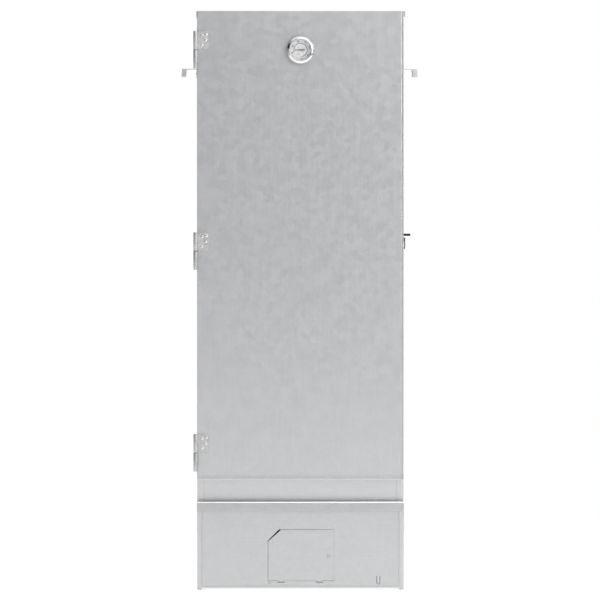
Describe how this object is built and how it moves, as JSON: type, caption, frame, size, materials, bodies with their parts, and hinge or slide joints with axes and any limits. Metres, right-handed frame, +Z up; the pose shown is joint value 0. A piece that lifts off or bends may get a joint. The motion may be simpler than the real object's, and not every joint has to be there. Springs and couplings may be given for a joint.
{
  "type": "electric cabinet smoker",
  "caption": "Tall galvanised sheet-steel smoking cabinet: hinged door with dial thermometer, hanging rods and wire racks inside, heated base with a chip flap.",
  "frame": {"origin": "on the floor, middle of the footprint", "axes": "+Z up, -Y is the front with the door, +X is the viewer's right when facing the door"},
  "size_m": [0.4532, 0.344, 1.1027],
  "materials": {
    "galvanised_sheet": "satin galvanised sheet with faint spangle",
    "bright_steel": "bright zinc plated",
    "hinge_steel": "zinc plated pressed steel",
    "spring_steel": "dark tempered spring steel",
    "black_coated_steel": "black dipped steel",
    "chromed_wire": "chromed wire",
    "element_sheath": "heat-toned steel sheath",
    "brass": "plain brass",
    "black_plastic": "moulded, matt",
    "wire_sleeve": "braided glass-fibre sleeve",
    "chrome": "polished bezel",
    "dial_face": "printed white dial",
    "glass": "clear flat glass",
    "needle_red": "red lacquer"
  },
  "bodies": {
    "cabinet": {"left_side_panel": "galvanised_sheet", "right_side_panel": "galvanised_sheet", "back_panel": "galvanised_sheet", "roof_cap": "galvanised_sheet", "vent_pivot": "bright_steel", "upper_front_rail": "galvanised_sheet", "lower_front_rail": "galvanised_sheet", "front_rivets": "bright_steel", "corner_posts": "galvanised_sheet", "base_front_panel": "galvanised_sheet", "skirt_rivet": "bright_steel", "base_right_panel": "galvanised_sheet", "base_left_panel": "galvanised_sheet", "base_back_panel": "galvanised_sheet", "base_rim": "galvanised_sheet", "base_floor_pan": "galvanised_sheet", "rack_rails": "galvanised_sheet", "drip_tray": "galvanised_sheet", "wire_rack_lower": "chromed_wire", "wire_rack_upper": "chromed_wire", "rod_brackets": "galvanised_sheet", "hanging_rods": "bright_steel", "smoking_hooks": "bright_steel", "chip_pan": "galvanised_sheet", "heating_element": "element_sheath", "element_supports": "galvanised_sheet", "element_glands": "brass", "terminal_box": "galvanised_sheet", "terminal_cover": "galvanised_sheet", "terminal_screws": "bright_steel", "power_inlet": "black_plastic", "inlet_pins": "brass", "thermal_cutout": "bright_steel", "internal_wires": "wire_sleeve", "right_handle": "galvanised_sheet", "left_handle": "galvanised_sheet", "handle_rivets": "bright_steel", "frame_hinge_leaves": "hinge_steel", "hinge_pins": "bright_steel", "hinge_washers": "black_coated_steel", "frame_hinge_rivets": "bright_steel", "latch_pivot": "bright_steel"},
    "door": {"door_hinge_leaves": "hinge_steel", "door_hinge_rivets": "bright_steel", "door_skin": "galvanised_sheet", "door_stiffeners": "galvanised_sheet", "latch_stud": "black_coated_steel", "thermometer_case": "chrome", "thermometer_dial": "dial_face", "thermometer_lens": "glass", "thermometer_stem": "bright_steel", "thermometer_nut": "bright_steel"},
    "needle": {"thermometer_needle": "needle_red"},
    "latch": {"latch_hook": "spring_steel"},
    "flap": {"chip_flap": "galvanised_sheet", "flap_knob": "bright_steel"},
    "damper": {"vent_damper": "galvanised_sheet"}
  },
  "joints": [
    {"name": "door_hinge", "type": "hinge", "parent": "cabinet", "child": "door", "pos_m": [-0.1993, -0.1633, 0.6444], "axis": [0, 0, -1], "range_deg": [0, 180]},
    {"name": "latch_swing", "type": "hinge", "parent": "cabinet", "child": "latch", "pos_m": [0.1979, -0.1355, 0.666], "axis": [-1, 0, 0], "range_deg": [0, 132]},
    {"name": "chip_flap_tip", "type": "hinge", "parent": "cabinet", "child": "flap", "pos_m": [0, -0.1589, 0.0166], "axis": [1, 0, 0], "range_deg": [0, 88]},
    {"name": "damper_turn", "type": "hinge", "parent": "cabinet", "child": "damper", "pos_m": [0, -0.005, 1.1008], "axis": [0, 0, 1], "range_deg": [0, 30]},
    {"name": "needle_turn", "type": "hinge", "parent": "door", "child": "needle", "pos_m": [0, -0.164, 1.026], "axis": [0, 1, 0], "range_deg": [-40, 220]}
  ]
}
